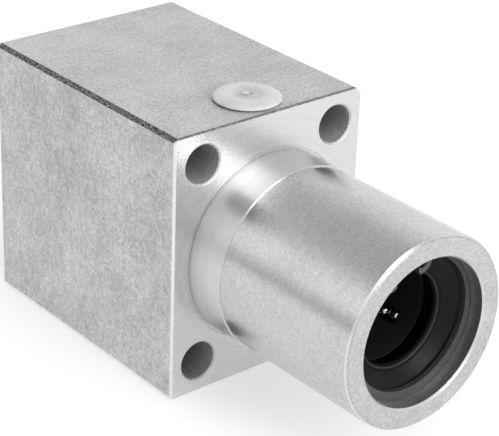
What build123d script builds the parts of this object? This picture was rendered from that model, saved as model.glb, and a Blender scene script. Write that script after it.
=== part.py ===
from build123d import *
import math
import os

# Linear bearing block: an aluminium block with a turned spigot, bored through for a 20 mm shaft.
# Two recirculating ball bearings sit in line in the bore, with a spacer ring between them,
# and a shaft seal and a retaining ring close each end.
# The X axis is the bore axis, the flange face is the plane x = 0, and the spigot points to +X.

# Housing block
block_length = 64.0
block_width = 50.0
block_height = 60.0
left_edge_chamfer = 0.8
right_edge_chamfer = 2.0
face_side_chamfer = 0.45
face_top_chamfer = 0.3

# Fixing holes, parallel to the bore, the same distance in from all four long sides
fixing_hole_diameter = 8.6
fixing_margin = 7.25
fixing_hole_chamfer = 0.35

# Spigot, whose length follows from the bearings and seals in it
collar_wall = 5.0
collar_length = 10.0
collar_step = 0.25
spigot_end_chamfer = 0.6
root_groove_width = 0.55
root_groove_depth = 0.3
mouth_chamfer = 0.4
cutter_overrun = 0.5

# Shaft and balls
shaft_diameter = 20.0
ball_diameter = 3.175
row_clearance = 0.005
ball_gap = 0.03
circuit_count = 5
row_island = 1.56
return_row_lift = 0.9
channel_clearance = 0.12

# Bearings
bearing_length = 45.0
sleeve_wall = 1.8
land_angle = 15.0
land_root = 0.3
end_ring_width = 2.0
end_ring_gap = 0.5
cage_gap = 0.35
cage_outer_clearance = 0.15
cage_end_wall = 3.3
cage_floor_wall = 0.35
load_slot_width = 2.9
load_slot_overrun = 1.5
slot_corner_angle = 22.5
bearing_turn = 28.4

# Spacer ring between the bearings
spacer_length = 3.0
spacer_wall = 2.5
spacer_hole_diameter = 1.6

# Shaft seals
seal_length = 4.6
seal_rim_width = 1.9
seal_lip_inset = 3.0
seal_lip_length = 0.75
seal_back_flare = 2.2

# Retaining rings for the bore, one at each end
ring_groove_depth = 0.85
ring_groove_width = 1.3
ring_groove_inset = 3.5
ring_thickness = 1.2
ring_rim_clearance = 0.05
ring_root_width = 2.9
ring_tip_width = 1.5
ring_lug_radius = 2.5
ring_lug_hole = 2.5
ring_lug_reach = 5.4
ring_lug_angle = 17.0
ring_opening_share = 0.45
ring_opening_angle = 102.0

# Lubrication port and its plug
port_diameter = 9.0
port_floor = 5.0
drip_hole_diameter = 3.0
drip_overrun = 1.0
plug_rim = 2.8
plug_lift = 0.3
plug_edge_height = 0.6
plug_crown_height = 0.6
plug_crown_width = 1.6
plug_dimple_diameter = 6.4
plug_dimple_depth = 0.4
plug_nub_diameter = 2.6
plug_nub_height = 0.3
plug_stem_gap = 2.0
plug_stem_wall = 1.5
plug_roof = 0.9

# Worked out from the sizes above
shaft_radius = shaft_diameter / 2
ball_radius = ball_diameter / 2
loaded_radius = shaft_radius + row_clearance + ball_radius
land_radius = loaded_radius + ball_radius + row_clearance
sleeve_inner_radius = loaded_radius + return_row_lift + ball_radius + channel_clearance
bore_radius = sleeve_inner_radius + sleeve_wall
collar_radius = bore_radius + collar_wall
spigot_radius = collar_radius - collar_step
groove_radius = bore_radius + ring_groove_depth
end_length = ring_groove_inset + ring_groove_width + seal_length
spigot_length = 2 * (bearing_length + end_length) + spacer_length - block_length
unit_centre = (spigot_length - block_length) / 2
fixing_y = block_width / 2 - fixing_margin
fixing_z = block_height / 2 - fixing_margin
channel_width = ball_diameter + 2 * channel_clearance
row_offset = (channel_width + row_island) / 2
half_spread = math.asin(row_offset / loaded_radius)
cage_length = bearing_length - 2 * end_ring_width
cage_outer_radius = land_radius - cage_outer_clearance
cage_inner_radius = shaft_radius + cage_gap
loaded_length = cage_length - 2 * (row_offset + channel_width / 2 + cage_end_wall)
track_length = 2 * (loaded_length + math.pi * row_offset)
balls_per_circuit = int(track_length / (ball_diameter + ball_gap))
port_x = unit_centre
port_depth = block_height / 2 - bore_radius - port_floor
plug_head_radius = port_diameter / 2 + plug_rim


def ring_along_x(start, end, outer, inner):
    """A plain ring on the bore axis from x = start to x = end."""
    tube = Cylinder(outer, end - start, align=(Align.CENTER, Align.CENTER, Align.MIN))
    hole = Cylinder(inner, end - start, align=(Align.CENTER, Align.CENTER, Align.MIN))
    return Pos(start, 0, 0) * Rot(0, 90, 0) * (tube - hole)


def rod_along_x(start, end, radius, y=0.0, z=0.0):
    """A round bar parallel to the bore axis."""
    bar = Cylinder(radius, end - start, align=(Align.CENTER, Align.CENTER, Align.MIN))
    return Pos(start, y, z) * Rot(0, 90, 0) * bar


def turned(points):
    """A solid turned about the X axis from a closed outline of (x, radius) points."""
    outline = Polyline([(x, 0, radius) for x, radius in points], close=True)
    return revolve(make_face(outline), Axis.X)


def cone_mouth(x, radius, chamfer, inward, y=0.0, z=0.0):
    """The cutter for a 45 degree chamfer on a hole's mouth at x, where inward is the way into the hole."""
    start = x - inward * cutter_overrun
    outline = Polyline(
        [
            (start, 0, 0),
            (start, 0, radius + chamfer + cutter_overrun),
            (x + inward * chamfer, 0, radius),
            (x + inward * chamfer, 0, 0),
        ],
        close=True,
    )
    return Pos(0, y, z) * revolve(make_face(outline), Axis.X)


def flange_edges(block, direction):
    """The edges of the block's flange face that run along an axis."""
    return block.faces().sort_by(Axis.X)[-1].edges().filter_by(direction)


def make_block():
    """The block, with its four long edges and its flange face's edges chamfered."""
    half_width = block_width / 2
    half_height = block_height / 2
    small = left_edge_chamfer
    large = right_edge_chamfer
    outline = Polyline(
        [
            (0, -half_width + small, half_height),
            (0, half_width - large, half_height),
            (0, half_width, half_height - large),
            (0, half_width, -half_height + small),
            (0, half_width - small, -half_height),
            (0, -half_width + small, -half_height),
            (0, -half_width, -half_height + small),
            (0, -half_width, half_height - small),
        ],
        close=True,
    )
    block = extrude(make_face(outline), block_length, dir=(-1, 0, 0))
    block = chamfer(flange_edges(block, Axis.Z), face_side_chamfer)
    block = chamfer(flange_edges(block, Axis.Y), face_top_chamfer)
    return block - rod_along_x(-root_groove_depth, cutter_overrun, collar_radius + root_groove_width)


def make_spigot():
    """The centring collar and the longer, slightly smaller spigot body."""
    root = -2 * root_groove_depth
    return turned(
        [
            (root, 0),
            (root, collar_radius),
            (collar_length, collar_radius),
            (collar_length, spigot_radius),
            (spigot_length - spigot_end_chamfer, spigot_radius),
            (spigot_length, spigot_radius - spigot_end_chamfer),
            (spigot_length, 0),
        ]
    )


def make_housing():
    """The one-piece aluminium housing with its bore, fixing holes, grooves and lubrication port."""
    housing = make_block() + make_spigot()
    housing -= rod_along_x(-block_length, spigot_length, bore_radius)
    housing -= cone_mouth(spigot_length, bore_radius, mouth_chamfer, -1)
    housing -= cone_mouth(-block_length, bore_radius, mouth_chamfer, 1)
    front = spigot_length - ring_groove_inset
    rear = -block_length + ring_groove_inset
    housing -= ring_along_x(front - ring_groove_width, front, groove_radius, shaft_radius)
    housing -= ring_along_x(rear, rear + ring_groove_width, groove_radius, shaft_radius)
    for side in (-1, 1):
        for level in (-1, 1):
            y = side * fixing_y
            z = level * fixing_z
            housing -= rod_along_x(-block_length, 0, fixing_hole_diameter / 2, y, z)
            housing -= cone_mouth(0, fixing_hole_diameter / 2, fixing_hole_chamfer, -1, y, z)
    top = block_height / 2
    below = (Align.CENTER, Align.CENTER, Align.MAX)
    housing -= Pos(port_x, 0, top) * Cylinder(port_diameter / 2, port_depth, align=below)
    drip_depth = top - bore_radius + drip_overrun
    housing -= Pos(port_x, 0, top) * Cylinder(drip_hole_diameter / 2, drip_depth, align=below)
    return housing


def make_retaining_ring(start):
    """A retaining ring for bores: an eccentric ring, thick opposite its opening, with two drilled lugs."""
    outer = groove_radius - ring_rim_clearance
    inner = outer - (ring_root_width + ring_tip_width) / 2
    shift = (ring_root_width - ring_tip_width) / 2
    lug_centre = outer - ring_lug_reach + ring_lug_radius
    plate = Circle(outer) - Pos(shift, 0) * Circle(inner)
    holes = Sketch()
    for side in (-1, 1):
        angle = math.radians(side * ring_lug_angle)
        at = Pos(lug_centre * math.cos(angle), lug_centre * math.sin(angle))
        plate += at * Circle(ring_lug_radius)
        holes += at * Circle(ring_lug_hole / 2)
    half_gap = lug_centre * math.sin(math.radians(ring_lug_angle)) - ring_lug_radius * ring_opening_share
    opening = Pos(outer, 0) * Rectangle(outer, 2 * half_gap)
    ring = extrude(plate - holes - opening, ring_thickness)
    return Plane.YZ.offset(start) * Rot(0, 0, ring_opening_angle) * ring


def make_seal(outer_face_x, inward):
    """A rubber shaft seal: a rim held by the bore, and a dished face that leads to a lip on the shaft."""
    profile = [
        (0, bore_radius),
        (0, bore_radius - seal_rim_width),
        (seal_lip_inset, shaft_radius),
        (seal_lip_inset + seal_lip_length, shaft_radius),
        (seal_length, shaft_radius + seal_back_flare),
        (seal_length, bore_radius),
    ]
    return turned([(outer_face_x + inward * depth, radius) for depth, radius in profile])


def make_spacer():
    """The ring that keeps the two bearings apart under the lubrication port."""
    start = unit_centre - spacer_length / 2
    spacer = ring_along_x(start, start + spacer_length, bore_radius, bore_radius - spacer_wall)
    reach = bore_radius + drip_overrun
    drill = Cylinder(spacer_hole_diameter / 2, reach, align=(Align.CENTER, Align.CENTER, Align.MIN))
    return spacer - Pos(unit_centre, 0, 0) * drill


def circuit_angle(index):
    """The direction of a ball circuit's middle, in degrees about X."""
    return bearing_turn + index * 360 / circuit_count


def ball_place(index, circuit, centre_x):
    """Where a ball of a circuit lies: along the loaded row, round the turn and back along the return row."""
    turn_length = math.pi * row_offset
    along = (index + 0.5) * track_length / balls_per_circuit
    half = loaded_length / 2
    if along < loaded_length:
        x = -half + along
        side = -1.0
    elif along < loaded_length + turn_length:
        angle = (along - loaded_length) / row_offset
        x = half + row_offset * math.sin(angle)
        side = -math.cos(angle)
    elif along < 2 * loaded_length + turn_length:
        x = half - (along - loaded_length - turn_length)
        side = 1.0
    else:
        angle = (along - 2 * loaded_length - turn_length) / row_offset
        x = -half - row_offset * math.sin(angle)
        side = math.cos(angle)
    radius = loaded_radius + return_row_lift * (1 - ((1 - side) / 2) ** 2)
    direction = math.radians(circuit_angle(circuit)) + side * half_spread
    return centre_x + x, radius, math.degrees(direction)


def make_ball():
    """One ball as a twenty-sided solid with its corners on the ball's own sphere, a corner facing the shaft."""
    tip = ball_radius
    height = tip / math.sqrt(5)
    width = 2 * tip / math.sqrt(5)
    upper = [Vector(width * math.cos(a), width * math.sin(a), height) for a in turns(5, 0)]
    lower = [Vector(width * math.cos(a), width * math.sin(a), -height) for a in turns(5, math.pi / 5)]
    top = Vector(0, 0, tip)
    bottom = Vector(0, 0, -tip)
    faces = []
    for i in range(5):
        j = (i + 1) % 5
        faces.append(triangle(top, upper[i], upper[j]))
        faces.append(triangle(upper[i], lower[i], upper[j]))
        faces.append(triangle(lower[i], lower[j], upper[j]))
        faces.append(triangle(bottom, lower[j], lower[i]))
    return Solid(Shell(faces))


def turns(count, start):
    """Equal angles round a circle."""
    return [start + 2 * math.pi * i / count for i in range(count)]


def triangle(a, b, c):
    """A flat three-cornered face."""
    return Face(Wire.make_polygon([a, b, c], close=True))


def make_ball_circuit(circuit, centre_x):
    """All the balls of one circuit, each its own solid."""
    ball = make_ball()
    balls = []
    for index in range(balls_per_circuit):
        x, radius, angle = ball_place(index, circuit, centre_x)
        balls.append(Rot(angle, 0, 0) * Pos(x, 0, radius) * ball)
    return Compound(children=balls)


def make_sleeve(centre_x):
    """The hardened sleeve with its two pressed-in end rings and a raised land over each loaded row."""
    start = centre_x - bearing_length / 2
    end = centre_x + bearing_length / 2
    sleeve = ring_along_x(start, end, bore_radius, sleeve_inner_radius)
    outer = sleeve_inner_radius + land_root
    reach = 2 * outer
    half_width = reach * math.tan(math.radians(land_angle / 2))
    wedge = Polyline([(0, 0, 0), (0, -half_width, reach), (0, half_width, reach)], close=True)
    sector = extrude(make_face(wedge), loaded_length / 2, dir=(1, 0, 0), both=True)
    land = ring_along_x(-loaded_length / 2, loaded_length / 2, outer, land_radius) & sector
    for circuit in range(circuit_count):
        row = circuit_angle(circuit) - math.degrees(half_spread)
        sleeve += Pos(centre_x, 0, 0) * Rot(row, 0, 0) * land
    inner = shaft_radius + end_ring_gap
    sleeve += ring_along_x(start, start + end_ring_width, outer, inner)
    sleeve += ring_along_x(end - end_ring_width, end, outer, inner)
    return sleeve


def cornered_slot(length, width):
    """A slot outline whose ends are half octagons drawn round the ball track's half circles."""
    half = length / 2
    side = width / 2
    slope = side * math.tan(math.radians(slot_corner_angle))
    return make_face(
        Polyline(
            [
                (-half - slope, -side),
                (half + slope, -side),
                (half + side, -slope),
                (half + side, slope),
                (half + slope, side),
                (-half - slope, side),
                (-half - side, slope),
                (-half - side, -slope),
            ],
            close=True,
        )
    )


def make_cage(centre_x):
    """The one-piece moulded cage: a tube with a channel for each circuit and a slot under each loaded row."""
    start = centre_x - cage_length / 2
    cage = ring_along_x(start, start + cage_length, cage_outer_radius, cage_inner_radius)
    floor = (cage_inner_radius + cage_floor_wall) * math.cos(half_spread)
    track = cornered_slot(loaded_length, 2 * row_offset + channel_width)
    track -= cornered_slot(loaded_length, row_island)
    channel = Pos(centre_x, 0, floor) * extrude(track, cage_outer_radius)
    slot = Rectangle(loaded_length + load_slot_width + 2 * load_slot_overrun, load_slot_width)
    depth = cage_floor_wall + 2 * cage_gap
    window = Pos(centre_x, 0, shaft_radius) * extrude(slot, depth + cage_floor_wall)
    for circuit in range(circuit_count):
        cage -= Rot(circuit_angle(circuit), 0, 0) * channel
        cage -= Rot(circuit_angle(circuit) - math.degrees(half_spread), 0, 0) * window
    return cage


def make_plug():
    """The push-in plastic plug: a low rounded head with a dimple and nub, on a hollow stem."""
    head = plug_head_radius
    stem = port_diameter / 2
    base = block_height / 2 + plug_lift
    shoulder = base + plug_edge_height
    top = shoulder + plug_crown_height
    bottom = block_height / 2 - port_depth + plug_stem_gap
    hollow = stem - plug_stem_wall
    dimple = plug_dimple_diameter / 2
    nub = plug_nub_diameter / 2
    floor = top - plug_dimple_depth
    profile = Polyline(
        [
            (nub, 0, floor),
            (dimple - plug_dimple_depth, 0, floor),
            (dimple + plug_dimple_depth, 0, top),
            (head - plug_crown_width, 0, top),
            (head, 0, shoulder),
            (head, 0, base),
            (stem, 0, base),
            (stem, 0, bottom),
            (hollow, 0, bottom),
            (hollow, 0, top - plug_roof),
            (0, 0, top - plug_roof),
            (0, 0, floor + plug_nub_height),
            (nub - plug_nub_height, 0, floor + plug_nub_height),
        ],
        close=True,
    )
    return Pos(port_x, 0, 0) * revolve(make_face(profile), Axis.Z)


def write(name, shape):
    """Writes one sub-part to its own file."""
    shape.label = name
    export_step(shape, f"parts/{name}.step")


def main():
    os.makedirs("parts", exist_ok=True)
    write("housing", make_housing())
    play = (ring_groove_width - ring_thickness) / 2
    front_groove = spigot_length - ring_groove_inset - ring_groove_width
    rear_groove = -block_length + ring_groove_inset
    write("front_retaining_ring", make_retaining_ring(front_groove + play))
    write("rear_retaining_ring", make_retaining_ring(rear_groove + play))
    write("front_shaft_seal", make_seal(front_groove, -1))
    write("rear_shaft_seal", make_seal(rear_groove + ring_groove_width, 1))
    write("spacer_ring", make_spacer())
    write("lubrication_plug", make_plug())
    offset = (spacer_length + bearing_length) / 2
    for name, centre_x in (("front", unit_centre + offset), ("rear", unit_centre - offset)):
        write(f"{name}_bearing_sleeve", make_sleeve(centre_x))
        write(f"{name}_ball_cage", make_cage(centre_x))
        for circuit in range(circuit_count):
            write(f"{name}_ball_circuit_{circuit + 1}", make_ball_circuit(circuit, centre_x))


main()
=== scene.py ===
import math

import bmesh
import bpy
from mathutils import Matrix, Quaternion, Vector


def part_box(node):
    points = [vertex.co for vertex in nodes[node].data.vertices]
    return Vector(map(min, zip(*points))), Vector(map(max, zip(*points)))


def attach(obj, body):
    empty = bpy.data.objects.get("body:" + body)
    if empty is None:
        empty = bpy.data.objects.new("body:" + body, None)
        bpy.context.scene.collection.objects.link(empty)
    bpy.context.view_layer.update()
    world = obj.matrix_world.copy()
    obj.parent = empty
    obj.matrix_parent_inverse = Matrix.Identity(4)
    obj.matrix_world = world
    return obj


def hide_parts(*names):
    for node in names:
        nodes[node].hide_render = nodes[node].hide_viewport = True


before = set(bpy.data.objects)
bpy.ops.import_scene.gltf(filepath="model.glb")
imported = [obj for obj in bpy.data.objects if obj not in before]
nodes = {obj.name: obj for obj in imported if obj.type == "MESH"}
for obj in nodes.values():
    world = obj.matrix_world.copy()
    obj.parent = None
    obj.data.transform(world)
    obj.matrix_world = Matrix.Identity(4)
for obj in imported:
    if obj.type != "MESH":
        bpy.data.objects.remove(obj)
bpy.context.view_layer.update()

# The looks of the linear bearing block. X is the bore axis, the flange face is the plane x = 0,
# the spigot points to +X and the lubrication plug is on top. Lengths are in metres.

MM = 0.001

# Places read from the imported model
housing_low, housing_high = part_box("housing")
plug_low, plug_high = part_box("lubrication_plug")
block_left = housing_low.y
block_top = housing_high.z
floor_level = housing_low.z
spigot_end = housing_high.x

# Sizes that the finishes and the moulded pieces go by, as on the solid model
collar_radius = 21.0 * MM
collar_length = 10.0 * MM
root_groove_width = 0.55 * MM
root_groove_depth = 0.3 * MM
bore_radius = 16.0 * MM
shaft_radius = 10.0 * MM
ball_radius = 3.175 / 2 * MM
left_chamfer = 0.8 * MM
face_side_chamfer = 0.45 * MM
face_top_chamfer = 0.3 * MM
end_chamfer = 0.6 * MM
mouth_chamfer = 0.4 * MM
hole_radius = 4.3 * MM
hole_y = 17.75 * MM
hole_z = 22.75 * MM
seal_rim_width = 1.9 * MM
seal_lip_inset = 3.0 * MM
seal_lip_length = 0.75 * MM
seal_back_flare = 2.2 * MM
circuits_per_bearing = 5

# Radii that part one finish from another: the bore from the faces round it, the sleeves' end flanges
# from their outsides, and the middle of the painted highlight, a paler line, on the seals' bead
bore_finish_radius = 16.5 * MM
sleeve_flange_radius = 15.0 * MM
bead_highlight_radius = 10.45 * MM
bead_highlight_width = 0.2 * MM

# How far a finish reaches past its own edge
edge_margin = 0.03 * MM
strip_margin = 0.08 * MM
face_margin = 0.2 * MM

# Noise, each as its scale in waves per metre, its detail and its roughness
blotch_noise = (75.0, 4.0, 0.6)
drag_noise = (900.0, 3.0, 0.7)
fleck_noise = (1300.0, 3.0, 0.8)
pit_noise = (1500.0, 3.0, 0.7)
grain_noise = (2800.0, 2.0, 0.8)
fine_ring_noise = (5200.0, 2.0, 0.7)
broad_ring_noise = (700.0, 2.0, 0.6)
spring_steel_noise = (2600.0, 3.0, 0.6)
ground_steel_noise = (2400.0, 2.0, 0.5)
rubber_noise = (1800.0, 3.0, 0.6)
cage_noise = (1500.0, 3.0, 0.6)
cloud_noise = (350.0, 3.0, 0.6)
drag_stretch = (1.0, 0.28, 0.28)

# The parts of a noise's range that are spread over a finish. A narrower part gives more contrast.
strong_range = (0.39, 0.61)
skin_range = (0.38, 0.62)
soft_range = (0.35, 0.65)
faint_range = (0.30, 0.70)
pit_range = (0.30, 0.37)
strip_range = (0.42, 0.62)
line_range = (0.40, 0.66)

# How dark a pit makes the aluminium, as a share of its grey
pit_shade = (0.74, 1.0)

# What share of the aluminium's skin and of its turning marks each noise has
blotch_share, drag_share, fleck_share, grain_share = 0.16, 0.12, 0.38, 0.34
fine_ring_share, broad_ring_share, mark_fleck_share = 0.4, 0.3, 0.3

# The aluminium's surfaces, each as its grey and its roughness. A pair runs from dark spots to pale ones.
block_grey, block_rough = (0.39, 0.77), (0.66, 0.50)
flange_grey, flange_rough = (0.63, 0.70), (0.25, 0.29)
collar_grey, collar_rough = (0.60, 0.67), (0.38, 0.42)
spigot_grey, spigot_rough = (0.46, 0.66), (0.26, 0.20)
end_face_grey, end_face_rough = (0.38, 0.66), 0.5
# Painted highlights: a bright line on the spigot end's outer edge and on the collar's step
end_edge_highlight_grey, end_edge_rough = 0.68, 0.3
step_highlight_grey, step_rough = 0.78, 0.25
mouth_grey, mouth_rough = 0.60, 0.3
bore_grey, bore_rough = (0.38, 0.62), 0.35
# Painted shade on the block's left chamfer and the flange face's top one, a painted highlight on its left
# one
left_strip_shade_grey, left_strip_rough = (0.025, 0.36), 0.5
top_line_shade_grey, top_line_rough = (0.12, 0.40), 0.5
front_strip_highlight_grey, front_strip_rough = 0.76, 0.4
drilled_grey, drilled_rough, drilled_metal = (0.28, 0.52), 0.5, 0.35
aluminium_tone = (1.0, 0.998, 0.988)
turned_streak = 0.65

# How deep the aluminium's grain is, and its share of that depth on the turned faces and the spigot
grain_depth = 0.03 * MM
grain_strength = 0.35
turned_grain = 0.08
spigot_grain = 0.6
aluminium_rounding = 0.12 * MM

# The other materials, each as its grey and its roughness
spring_grey, spring_rough, spring_metal = (0.06, 0.11), (0.42, 0.55), 0.6
rubber_grey, rubber_rough, rubber_shine = (0.004, 0.009), (0.34, 0.46), 0.11
# The grey of the painted highlight, a paler line on the seals' bead
bead_highlight_grey = 0.04
cage_grey, cage_rough = (0.008, 0.014), (0.45, 0.6)
ball_grey, ball_rough = (0.5225, 0.55), (0.05, 0.065)
sleeve_grey, sleeve_rough = (0.55, 0.62), (0.25, 0.35)
blackened_grey = (0.015, 0.03)
fine_depth = 0.01 * MM
spring_strength = 0.4
rubber_strength = 0.3
spring_rounding = 0.1 * MM

# The plug's plastic, with how deep light goes into it, and the painted shade of a darker ring in its
# dimple
plug_grey, plug_rough = (0.52, 0.58), (0.30, 0.42)
plug_tone = (1.0, 1.0, 0.985)
plug_milkiness = 0.5
plug_light_depth = (1.6 * MM, 1.5 * MM, 1.4 * MM)
plug_coat, plug_coat_rough = 0.15, 0.25
dimple_shade = 0.84
dimple_shade_inner = (0.9 * MM, 1.3 * MM)
dimple_shade_outer = (2.4 * MM, 3.9 * MM)

# How far the corners of the moulded pieces are rounded
seal_softening = 0.15 * MM
plug_softening = 0.5 * MM

# The room's brightness by height, from nought at the horizon to one overhead, on its two sides
room_left = (
    (0.0, 0.58), (0.12, 0.70), (0.26, 1.14), (0.46, 1.18), (0.56, 1.04), (0.64, 0.80), (0.74, 0.56),
)
room_right = ((0.0, 1.08), (0.30, 1.10), (0.52, 1.06), (0.61, 0.86), (0.68, 0.72), (0.76, 0.56))
room_tint = (1.04, 0.97, 0.98)
side_blend = 0.3

# The floor, which is far wider than any view
floor_reach = 30.0
floor_grey = (0.55, 0.55, 0.55, 1.0)
floor_rough = 0.9
floor_glow = 0.48

# The lights, each as its place, its width and its power in watts
overhead_light = ((0.35, -0.04, 0.75), 0.6, 1.8)
front_light = ((0.80, 0.10, 0.33), 0.35, 3.5)
lights_target = (0.0, 0.0, 0.0)

# The camera, from a fit to the photograph
camera_aim = Vector((-4.36 * MM, -1.33 * MM, 4.41 * MM))
camera_azimuth = math.radians(49.46)
camera_elevation = math.radians(26.35)
camera_roll = math.radians(2.22)
camera_distance = 385.0 * MM
camera_lens = 131.4
camera_sensor = 36.0
camera_clip = (0.01, 100.0)


class Shader:
    """A short way to write one material's node tree."""

    def __init__(self, name):
        self.material = bpy.data.materials.new(name)
        self.material.use_nodes = True
        self.tree = self.material.node_tree
        self.tree.nodes.clear()
        self.output = self.tree.nodes.new("ShaderNodeOutputMaterial")
        self.surface = self.tree.nodes.new("ShaderNodeBsdfPrincipled")
        self.tree.links.new(self.surface.outputs[0], self.output.inputs[0])
        self.coords = self.tree.nodes.new("ShaderNodeTexCoord").outputs["Object"]

    def put(self, socket, value):
        """Links a socket to another node's output, or sets its value."""
        if isinstance(value, bpy.types.NodeSocket):
            self.tree.links.new(value, socket)
        else:
            socket.default_value = value

    def set(self, name, value):
        """Sets or links one socket of the surface shader."""
        self.put(self.surface.inputs[name], value)

    def math(self, kind, first, second=0.0, third=0.0):
        """A math node's result."""
        node = self.tree.nodes.new("ShaderNodeMath")
        node.operation = kind
        for socket, value in zip(node.inputs, (first, second, third)):
            self.put(socket, value)
        return node.outputs[0]

    def above(self, value, limit):
        """One where a number is over a limit, else nought."""
        return self.math("GREATER_THAN", value, limit)

    def below(self, value, limit):
        """One where a number is under a limit, else nought."""
        return self.math("LESS_THAN", value, limit)

    def distance(self, value, place):
        """How far a number is from another."""
        return self.math("ABSOLUTE", self.math("SUBTRACT", value, place))

    def times(self, first, second):
        """The product of two numbers, which is one where two masks are both one."""
        return self.math("MULTIPLY", first, second)

    def length(self, first, second):
        """The length of a flat vector."""
        return self.math("SQRT", self.math("ADD", self.times(first, first), self.times(second, second)))

    def blend_of(self, *parts):
        """The sum of several numbers, each times its own share."""
        total = 0.0
        for value, share in parts:
            total = self.math("MULTIPLY_ADD", value, share, total)
        return total

    def split(self, vector):
        """The three parts of a vector."""
        node = self.tree.nodes.new("ShaderNodeSeparateXYZ")
        self.put(node.inputs[0], vector)
        return node.outputs

    def join(self, x, y, z):
        """A vector made of three numbers."""
        node = self.tree.nodes.new("ShaderNodeCombineXYZ")
        for socket, value in zip(node.inputs, (x, y, z)):
            self.put(socket, value)
        return node.outputs[0]

    def noise(self, scale, detail, roughness, coords=None, stretch=None):
        """Noise from about 0 to 1, at a scale in waves per metre."""
        vector = self.coords if coords is None else coords
        if stretch is not None:
            mapping = self.tree.nodes.new("ShaderNodeMapping")
            mapping.inputs["Scale"].default_value = stretch
            self.put(mapping.inputs["Vector"], vector)
            vector = mapping.outputs[0]
        node = self.tree.nodes.new("ShaderNodeTexNoise")
        node.inputs["Scale"].default_value = scale
        node.inputs["Detail"].default_value = detail
        node.inputs["Roughness"].default_value = roughness
        self.put(node.inputs["Vector"], vector)
        return node.outputs["Fac"]

    def spread(self, value, source, target):
        """Maps one range of numbers to another, clamped, where each range is a pair."""
        node = self.tree.nodes.new("ShaderNodeMapRange")
        for socket, item in zip(node.inputs, (value, *source, *target)):
            self.put(socket, item)
        return node.outputs[0]

    def mix(self, factor, first, second):
        """A number between two others."""
        node = self.tree.nodes.new("ShaderNodeMix")
        node.data_type = "FLOAT"
        self.put(node.inputs["Factor"], factor)
        self.put(node.inputs["A"], first)
        self.put(node.inputs["B"], second)
        return node.outputs["Result"]

    def grey(self, value, tone=(1.0, 1.0, 1.0)):
        """A colour from a number, times a tone."""
        return self.join(*[self.times(value, part) for part in tone])

    def bump(self, height, distance, strength, normal=None):
        """A normal bent by a height of 0 to 1 over a distance in metres."""
        node = self.tree.nodes.new("ShaderNodeBump")
        node.inputs["Strength"].default_value = strength
        node.inputs["Distance"].default_value = distance
        self.put(node.inputs["Height"], height)
        if normal is not None:
            self.put(node.inputs["Normal"], normal)
        return node.outputs[0]

    def background_rays(self):
        """One for rays from the camera and for rays that metal or glass sends on, else nought."""
        seen = self.tree.nodes.new("ShaderNodeLightPath").outputs
        either = self.math("MAXIMUM", seen["Is Camera Ray"], seen["Is Glossy Ray"])
        return self.math("MAXIMUM", either, seen["Is Transmission Ray"])

    def rounded(self, radius):
        """A normal that rounds sharp edges by a radius in metres."""
        node = self.tree.nodes.new("ShaderNodeBevel")
        node.samples = 6
        node.inputs["Radius"].default_value = radius
        return node.outputs[0]


class Finish:
    """A grey and a roughness, on which other finishes are laid where a mask is one."""

    def __init__(self, shade, value, rough):
        self.shade = shade
        self.value = value
        self.rough = rough

    def lay(self, mask, value, rough):
        """Changes the finish where the mask is one."""
        self.value = self.shade.mix(mask, self.value, value)
        self.rough = self.shade.mix(mask, self.rough, rough)


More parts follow.
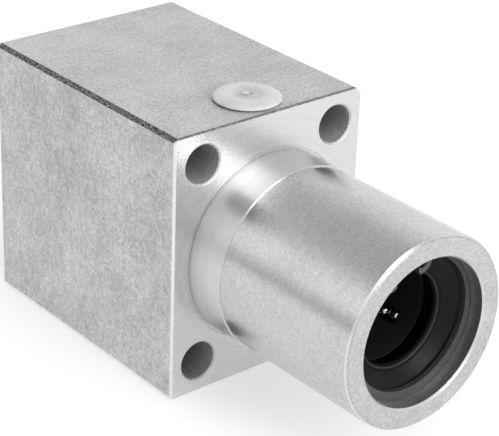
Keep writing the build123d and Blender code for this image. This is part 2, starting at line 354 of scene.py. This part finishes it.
def make_aluminium():
    """Bare aluminium: matt mottled sides, a bright turned flange face and collar, a satin spigot."""
    shade = Shader("bare_aluminium")
    x, y, z = shade.split(shade.coords)
    radius = shade.length(y, z)

    # The drawn skin: soft blotches, faint drag marks, crisp flecks, fine grain and small dark pits
    blotches = shade.noise(*blotch_noise)
    drag = shade.noise(*drag_noise, stretch=drag_stretch)
    flecks = shade.noise(*fleck_noise)
    grain = shade.noise(*grain_noise)
    pits = shade.spread(shade.noise(*pit_noise), pit_range, pit_shade)
    skin = shade.blend_of(
        (blotches, blotch_share),
        (drag, drag_share),
        (flecks, fleck_share),
        (grain, grain_share),
    )

    # Turning marks: very fine rings about the bore axis
    ring_place = shade.join(x, radius, 0.0)
    fine_rings = shade.noise(*fine_ring_noise, coords=ring_place)
    broad_rings = shade.noise(*broad_ring_noise, coords=ring_place)
    marks = shade.blend_of(
        (fine_rings, fine_ring_share),
        (broad_rings, broad_ring_share),
        (flecks, mark_fleck_share),
    )

    # The block's sides, with the turned flange face and root groove, the collar and the spigot over them
    block_value = shade.times(shade.spread(skin, strong_range, block_grey), pits)
    finish = Finish(shade, block_value, shade.spread(skin, skin_range, block_rough))
    outside_bore = shade.above(radius, bore_finish_radius)
    near_root = shade.below(radius, collar_radius + root_groove_width + edge_margin)
    in_groove = shade.times(near_root, shade.above(x, -root_groove_depth - edge_margin))
    past_face = shade.above(x, -edge_margin)
    past_block = shade.times(shade.math("MAXIMUM", past_face, in_groove), outside_bore)
    finish.lay(
        past_block,
        shade.spread(marks, skin_range, flange_grey),
        shade.spread(marks, skin_range, flange_rough),
    )
    past_flange = shade.times(shade.above(x, edge_margin), outside_bore)
    finish.lay(
        past_flange,
        shade.spread(marks, skin_range, collar_grey),
        shade.spread(marks, skin_range, collar_rough),
    )
    past_collar = shade.times(shade.above(x, collar_length + edge_margin), outside_bore)
    spigot_value = shade.times(shade.spread(skin, strong_range, spigot_grey), pits)
    finish.lay(past_collar, spigot_value, shade.spread(skin, skin_range, spigot_rough))

    # The spigot's end: a painted highlight on its outer edge, the end face, the mouth's chamfer and the
    # bore
    end_highlight_edge = shade.times(shade.above(x, spigot_end - end_chamfer), outside_bore)
    finish.lay(end_highlight_edge, end_edge_highlight_grey, end_edge_rough)
    near_end = shade.above(x, spigot_end - end_chamfer / 2)
    end_face = shade.times(near_end, shade.above(radius, bore_radius + mouth_chamfer))
    end_value = shade.times(shade.spread(skin, skin_range, end_face_grey), pits)
    finish.lay(end_face, end_value, end_face_rough)
    # A painted highlight: a bright line on the step from the collar to the spigot
    step = shade.times(past_flange, shade.below(shade.distance(x, collar_length), edge_margin))
    finish.lay(step, step_highlight_grey, step_rough)
    in_mouth = shade.below(radius, bore_radius + mouth_chamfer)
    mouth = shade.times(shade.above(x, spigot_end - mouth_chamfer), in_mouth)
    finish.lay(mouth, mouth_grey, mouth_rough)
    near_bore = shade.below(radius, bore_finish_radius)
    in_bore = shade.times(near_bore, shade.below(x, spigot_end - mouth_chamfer))
    finish.lay(in_bore, shade.spread(skin, skin_range, bore_grey), bore_rough)

    # The block's edges: painted shade as a dark strip, mottled by the grain, along the left, painted
    # shade as a dark line at the top of the flange face and a painted highlight as a bright line at its
    # left
    left_edge = block_top - block_left - left_chamfer - strip_margin
    left_shade_strip = shade.above(shade.math("SUBTRACT", z, y), left_edge)
    finish.lay(left_shade_strip, shade.spread(grain, strip_range, left_strip_shade_grey), left_strip_rough)
    on_block = shade.below(x, face_margin)
    near_top = shade.above(z, block_top - face_top_chamfer - edge_margin)
    near_face = shade.above(x, -face_top_chamfer - face_margin)
    top_shade_line = shade.times(shade.times(near_top, near_face), on_block)
    finish.lay(top_shade_line, shade.spread(grain, line_range, top_line_shade_grey), top_line_rough)
    front_edge = -block_left - face_side_chamfer - edge_margin
    front_highlight_strip = shade.times(shade.above(shade.math("SUBTRACT", x, y), front_edge), on_block)
    finish.lay(front_highlight_strip, front_strip_highlight_grey, front_strip_rough)

    # The drilled holes are duller inside
    hole_distance = shade.length(
        shade.distance(shade.math("ABSOLUTE", y), hole_y),
        shade.distance(shade.math("ABSOLUTE", z), hole_z),
    )
    near_hole = shade.below(hole_distance, hole_radius + edge_margin)
    drilled = shade.times(near_hole, shade.below(x, -2 * face_margin))
    finish.lay(drilled, shade.spread(skin, skin_range, drilled_grey), drilled_rough)

    shade.set("Base Color", shade.grey(finish.value, aluminium_tone))
    shade.set("Roughness", finish.rough)
    shade.set("Metallic", shade.mix(drilled, 1.0, drilled_metal))

    # Light streaks outward from the axis on the turned face and collar, and along the spigot
    streak_x = shade.mix(past_collar, shade.mix(past_block, 1.0, radius), 1.0)
    streak_y = shade.mix(past_collar, shade.times(past_block, y), 0.0)
    streak_z = shade.mix(past_collar, shade.mix(past_block, 1.0, z), 0.0)
    shade.set("Anisotropic", turned_streak)
    shade.set("Tangent", shade.join(streak_x, streak_y, streak_z))
    height_share = shade.mix(past_block, 1.0, shade.mix(past_collar, turned_grain, spigot_grain))
    rounded = shade.rounded(aluminium_rounding)
    shade.set("Normal", shade.bump(shade.times(skin, height_share), grain_depth, grain_strength, rounded))
    return shade.material


def make_spring_steel():
    """Phosphated spring steel of the retaining rings."""
    shade = Shader("phosphated_spring_steel")
    grain = shade.noise(*spring_steel_noise)
    shade.set("Base Color", shade.grey(shade.spread(grain, soft_range, spring_grey)))
    shade.set("Metallic", spring_metal)
    shade.set("Roughness", shade.spread(grain, soft_range, spring_rough))
    rounded = shade.rounded(spring_rounding)
    shade.set("Normal", shade.bump(grain, fine_depth, spring_strength, rounded))
    return shade.material


def make_rubber():
    """Satin black moulded rubber of the shaft seals, with a painted highlight as a paler line on the
    bead.
    """
    shade = Shader("seal_rubber_black")
    place = shade.split(shade.coords)
    radius = shade.length(place["Y"], place["Z"])
    grain = shade.noise(*rubber_noise)
    black = shade.spread(grain, faint_range, rubber_grey)
    # A painted highlight: a paler line round the bead
    on_bead_highlight = shade.below(shade.distance(radius, bead_highlight_radius), bead_highlight_width / 2)
    shade.set("Base Color", shade.grey(shade.mix(on_bead_highlight, black, bead_highlight_grey)))
    shade.set("Roughness", shade.spread(grain, faint_range, rubber_rough))
    shade.set("Specular IOR Level", rubber_shine)
    shade.set("Normal", shade.bump(grain, fine_depth, rubber_strength))
    return shade.material


def make_cage_plastic():
    """Black moulded plastic of the ball cages."""
    shade = Shader("cage_plastic_black")
    grain = shade.noise(*cage_noise)
    shade.set("Base Color", shade.grey(shade.spread(grain, faint_range, cage_grey)))
    shade.set("Roughness", shade.spread(grain, faint_range, cage_rough))
    return shade.material


def make_ball_steel():
    """Polished steel of the balls."""
    shade = Shader("polished_ball_steel")
    grain = shade.noise(*ground_steel_noise)
    shade.set("Base Color", shade.grey(shade.spread(grain, faint_range, ball_grey)))
    shade.set("Metallic", 1.0)
    shade.set("Roughness", shade.spread(grain, faint_range, ball_rough))
    return shade.material


def make_sleeve_steel():
    """Ground steel of the bearing sleeves, blackened on the flanges at their ends."""
    shade = Shader("bearing_sleeve_steel")
    place = shade.split(shade.coords)
    radius = shade.length(place["Y"], place["Z"])
    grain = shade.noise(*ground_steel_noise)
    ground = shade.spread(grain, faint_range, sleeve_grey)
    blackened = shade.spread(grain, faint_range, blackened_grey)
    on_flange = shade.below(radius, sleeve_flange_radius)
    shade.set("Base Color", shade.grey(shade.mix(on_flange, ground, blackened)))
    shade.set("Metallic", 1.0)
    shade.set("Roughness", shade.spread(grain, faint_range, sleeve_rough))
    return shade.material


def make_plug_plastic():
    """Milky plastic of the push-in plug, which lets some light in and has painted shade as a darker ring
    in its dimple.
    """
    shade = Shader("milky_plastic")
    place = shade.split(shade.coords)
    centre_x = (plug_low.x + plug_high.x) / 2
    from_axis = shade.length(shade.math("SUBTRACT", place["X"], centre_x), place["Y"])
    cloud = shade.noise(*cloud_noise)
    # Painted shade: a darker ring in the dimple, between the nub and the dimple's rim
    past_nub = shade.spread(from_axis, dimple_shade_inner, (0.0, 1.0))
    in_dimple = shade.spread(from_axis, dimple_shade_outer, (1.0, 0.0))
    dimple_painted_shade = shade.mix(shade.times(past_nub, in_dimple), 1.0, dimple_shade)
    value = shade.times(shade.spread(cloud, soft_range, plug_grey), dimple_painted_shade)
    shade.set("Base Color", shade.grey(value, plug_tone))
    shade.set("Subsurface Weight", plug_milkiness)
    shade.set("Subsurface Radius", plug_light_depth)
    shade.set("Subsurface Scale", 1.0)
    shade.set("Roughness", shade.spread(cloud, soft_range, plug_rough))
    shade.set("Coat Weight", plug_coat)
    shade.set("Coat Roughness", plug_coat_rough)
    return shade.material


def dress(node_name, material):
    """Gives a solid of the frame its finish."""
    slots = nodes[node_name].data.materials
    slots.clear()
    slots.append(material)


def finish_piece(piece, material, material_slot, *replaced):
    """Hangs a new piece on the object's body, with its finish and the solid that it stands for."""
    piece.data.materials.append(material)
    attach(piece, "root")
    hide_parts(*replaced)


def new_object(name, mesh_data):
    """A new object from finished mesh data, shaded smooth."""
    mesh = bpy.data.meshes.new(name)
    mesh_data.to_mesh(mesh)
    mesh_data.free()
    for face in mesh.polygons:
        face.use_smooth = True
    made = bpy.data.objects.new(name, mesh)
    bpy.context.scene.collection.objects.link(made)
    return made


def ball_places(node_name):
    """The middle of each ball of a circuit, from the solids in the frame."""
    mesh = nodes[node_name].data
    corner = {}
    for vertex in mesh.vertices:
        key = tuple(round(part / MM, 3) for part in vertex.co)
        corner.setdefault(key, []).append(vertex.index)
    group_of = {}
    for members in corner.values():
        for index in members:
            group_of[index] = members[0]
    parent = {first: first for first in set(group_of.values())}

    def root_of(item):
        while parent[item] != item:
            item = parent[item]
        return item

    for face in mesh.polygons:
        first, *rest = [group_of[index] for index in face.vertices]
        for other in rest:
            parent[root_of(other)] = root_of(first)
    islands = {}
    for first in parent:
        islands.setdefault(root_of(first), []).append(mesh.vertices[first].co)
    return [sum(points, Vector()) / len(points) for points in islands.values()]


def make_balls(node_name, material):
    """Smooth polished balls where the circuit's balls lie."""
    data = bmesh.new()
    for place in ball_places(node_name):
        made = bmesh.ops.create_icosphere(data, subdivisions=4, radius=ball_radius)
        bmesh.ops.translate(data, verts=made["verts"], vec=place)
    balls = new_object(node_name + "_balls", data)
    finish_piece(balls, material, "ball_steel", node_name)


def lathe(name, outline, turn, segments=160):
    """A closed ring turned from an outline, where turn(along, radius, angle) gives a place."""
    data = bmesh.new()
    rows = []
    for index in range(segments):
        angle = 2 * math.pi * index / segments
        rows.append([data.verts.new(turn(along, radius, angle)) for along, radius in outline])
    count = len(outline)
    for index in range(segments):
        here = rows[index]
        there = rows[(index + 1) % segments]
        for j in range(count):
            k = (j + 1) % count
            corners = [here[j], here[k], there[k], there[j]]
            kept = [v for i, v in enumerate(corners) if v.co not in [w.co for w in corners[:i]]]
            if len(kept) > 2:
                data.faces.new(kept)
    bmesh.ops.remove_doubles(data, verts=data.verts, dist=0.001 * MM)
    bmesh.ops.recalc_face_normals(data, faces=data.faces)
    return new_object(name, data)


def softened(outline, radius, steps=4):
    """An outline of (along, radius) points with each corner rounded by a short curve."""
    longest_share = 0.45
    smooth = []
    count = len(outline)
    for index, point in enumerate(outline):
        here = Vector(point)
        before = Vector(outline[index - 1])
        after = Vector(outline[(index + 1) % count])
        reach = min(radius, (before - here).length * longest_share, (after - here).length * longest_share)
        start = here + (before - here).normalized() * reach
        end = here + (after - here).normalized() * reach
        for step in range(steps + 1):
            t = step / steps
            smooth.append(start * (1 - t) ** 2 + here * 2 * t * (1 - t) + end * t * t)
    return [tuple(point) for point in smooth]


def make_seal(node_name, inward, material):
    """A moulded shaft seal with a rim, a dished face, a bead round the opening and a sharp lip."""
    low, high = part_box(node_name)
    face = high.x if inward < 0 else low.x
    depth = high.x - low.x
    rim = bore_radius - seal_rim_width
    rim_flat = rim + 0.5 * MM
    rim_corner = (0.35 * MM, rim + 0.25 * MM)
    rim_foot = (0.6 * MM, rim - 0.4 * MM)
    bead_radius = shaft_radius + 0.9 * MM
    bead_place = seal_lip_inset - 0.45 * MM
    bead_foot = (bead_place - 0.1 * MM, bead_radius + 0.35 * MM)
    bead_top = (bead_place - 0.3 * MM, bead_radius)
    bead_edge = (bead_place, shaft_radius + 0.3 * MM)
    outline = [
        (0.0, bore_radius),
        (0.0, rim_flat),
        rim_corner,
        rim_foot,
        bead_foot,
        bead_top,
        bead_edge,
        (seal_lip_inset, shaft_radius),
        (seal_lip_inset + seal_lip_length, shaft_radius),
        (depth, shaft_radius + seal_back_flare),
        (depth, bore_radius),
    ]
    outline = softened(outline, seal_softening)

    def turn(along, radius, angle):
        return Vector((face + inward * along, radius * math.sin(angle), radius * math.cos(angle)))

    seal = lathe(node_name + "_moulding", outline, turn)
    finish_piece(seal, material, "seal_rubber", node_name)


def make_plug(material):
    """The milky plug: a low domed head with a dimple and a nub, on its hollow stem."""
    centre = (plug_low + plug_high) / 2
    head = (plug_high.x - plug_low.x) / 2
    top = plug_high.z
    base = top - 1.2 * MM
    stem = 4.5 * MM
    hollow = 3.0 * MM
    roof = top - 0.9 * MM
    dimple = 3.2 * MM
    dimple_floor = top - 0.4 * MM
    dimple_foot = (dimple_floor, dimple - 0.3 * MM)
    dimple_rim = (top - 0.05 * MM, dimple + 0.4 * MM)
    nub = 1.3 * MM
    nub_slope = 0.2 * MM
    nub_top = dimple_floor + 0.3 * MM
    shoulder_start = (top - 0.2 * MM, head - 1.1 * MM)
    shoulder_end = (top - 0.55 * MM, head - 0.25 * MM)
    edge_top = (base + 0.25 * MM, head)
    edge_bottom = (base, head - 0.1 * MM)
    outline = [
        (nub_top, 0.0),
        (nub_top, nub - nub_slope),
        (dimple_floor, nub + nub_slope),
        dimple_foot,
        dimple_rim,
        (top, (dimple + head) / 2),
        shoulder_start,
        shoulder_end,
        edge_top,
        edge_bottom,
        (base, stem),
        (plug_low.z, stem),
        (plug_low.z, hollow),
        (roof, hollow),
        (roof, 0.0),
    ]
    inner = softened(outline[1:-1], plug_softening)
    outline = [outline[0], *inner, outline[-1]]

    def turn(along, radius, angle):
        return Vector((centre.x + radius * math.cos(angle), centre.y + radius * math.sin(angle), along))

    plug = lathe("lubrication_plug_moulding", outline, turn)
    finish_piece(plug, material, "plug_plastic", "lubrication_plug")


def make_floor():
    """A plain pale floor that shows as plain white."""
    data = bmesh.new()
    size = floor_reach
    corners = [(-size, -size), (size, -size), (size, size), (-size, size)]
    data.faces.new([data.verts.new((x, y, floor_level)) for x, y in corners])
    floor = new_object("floor", data)
    shade = Shader("pale_floor")
    shade.set("Base Color", floor_grey)
    shade.set("Roughness", floor_rough)
    glow = shade.tree.nodes.new("ShaderNodeEmission")
    shade.put(glow.inputs["Strength"], shade.times(shade.background_rays(), floor_glow))
    total = shade.tree.nodes.new("ShaderNodeAddShader")
    shade.put(total.inputs[0], shade.surface.outputs[0])
    shade.put(total.inputs[1], glow.outputs[0])
    shade.put(shade.output.inputs[0], total.outputs[0])
    floor.data.materials.append(shade.material)


def room_bands(tree, height, bands):
    """A grey for each height in the room, a little cooler where it is darker."""
    ramp = tree.nodes.new("ShaderNodeValToRGB")
    stops = ramp.color_ramp.elements
    while len(stops) < len(bands):
        stops.new(1.0)
    for stop, (place, level) in zip(stops, bands):
        stop.position = place
        stop.color = (*[1 - (1 - level) * part for part in room_tint], 1.0)
    tree.links.new(height, ramp.inputs[0])
    return ramp.outputs[0]


def make_world():
    """A soft studio room: a bright band of walls under a darker ceiling."""
    world = bpy.data.worlds.new("studio")
    bpy.context.scene.world = world
    world.use_nodes = True
    tree = world.node_tree
    tree.nodes.clear()
    output = tree.nodes.new("ShaderNodeOutputWorld")
    coords = tree.nodes.new("ShaderNodeTexCoord")
    parts = tree.nodes.new("ShaderNodeSeparateXYZ")
    tree.links.new(coords.outputs["Generated"], parts.inputs[0])
    side = tree.nodes.new("ShaderNodeMapRange")
    side.inputs["From Min"].default_value = -side_blend
    side.inputs["From Max"].default_value = side_blend
    tree.links.new(parts.outputs["Y"], side.inputs["Value"])

    # The mix node's inputs 6 and 7 are its two colours, and its output 2 is the mixed one
    both_sides = tree.nodes.new("ShaderNodeMix")
    both_sides.data_type = "RGBA"
    tree.links.new(side.outputs[0], both_sides.inputs["Factor"])
    for socket, bands in ((both_sides.inputs[6], room_left), (both_sides.inputs[7], room_right)):
        tree.links.new(room_bands(tree, parts.outputs["Z"], bands), socket)
    room = tree.nodes.new("ShaderNodeBackground")
    tree.links.new(both_sides.outputs[2], room.inputs["Color"])
    room.inputs["Strength"].default_value = 1.0
    tree.links.new(room.outputs[0], output.inputs[0])


def make_light(name, place, size, power):
    """A soft square light that faces the object."""
    data = bpy.data.lights.new(name, "AREA")
    data.shape = "SQUARE"
    data.size = size
    data.energy = power
    light = bpy.data.objects.new(name, data)
    light.location = place
    light.rotation_mode = "QUATERNION"
    light.rotation_quaternion = (Vector(lights_target) - Vector(place)).to_track_quat("-Z", "Y")
    bpy.context.scene.collection.objects.link(light)


def make_camera():
    """The camera at the photograph's angle, aimed near the middle of the block's flange."""
    back = Vector((
        math.sin(camera_azimuth) * math.cos(camera_elevation),
        -math.cos(camera_azimuth) * math.cos(camera_elevation),
        math.sin(camera_elevation),
    ))
    data = bpy.data.cameras.new("camera")
    data.sensor_width = camera_sensor
    data.lens = camera_lens
    data.clip_start, data.clip_end = camera_clip
    camera = bpy.data.objects.new("camera", data)
    camera.location = camera_aim + back * camera_distance
    camera.rotation_mode = "QUATERNION"
    level = (-back).to_track_quat("-Z", "Y")
    camera.rotation_quaternion = level @ Quaternion((0.0, 0.0, 1.0), camera_roll)
    bpy.context.scene.collection.objects.link(camera)
    bpy.context.scene.camera = camera


aluminium = make_aluminium()
spring_steel = make_spring_steel()
rubber = make_rubber()
cage_plastic = make_cage_plastic()
sleeve_steel = make_sleeve_steel()
ball_steel = make_ball_steel()
plug_plastic = make_plug_plastic()

dress("housing", aluminium)
dress("spacer_ring", aluminium)
for end in ("front", "rear"):
    dress(f"{end}_retaining_ring", spring_steel)
    dress(f"{end}_bearing_sleeve", sleeve_steel)
    dress(f"{end}_ball_cage", cage_plastic)
    for circuit in range(1, circuits_per_bearing + 1):
        make_balls(f"{end}_ball_circuit_{circuit}", ball_steel)
make_seal("front_shaft_seal", -1, rubber)
make_seal("rear_shaft_seal", 1, rubber)
make_plug(plug_plastic)
make_floor()
make_world()
make_light("overhead_light", *overhead_light)
make_light("front_light", *front_light)
make_camera()
bpy.context.scene.view_settings.view_transform = "Standard"
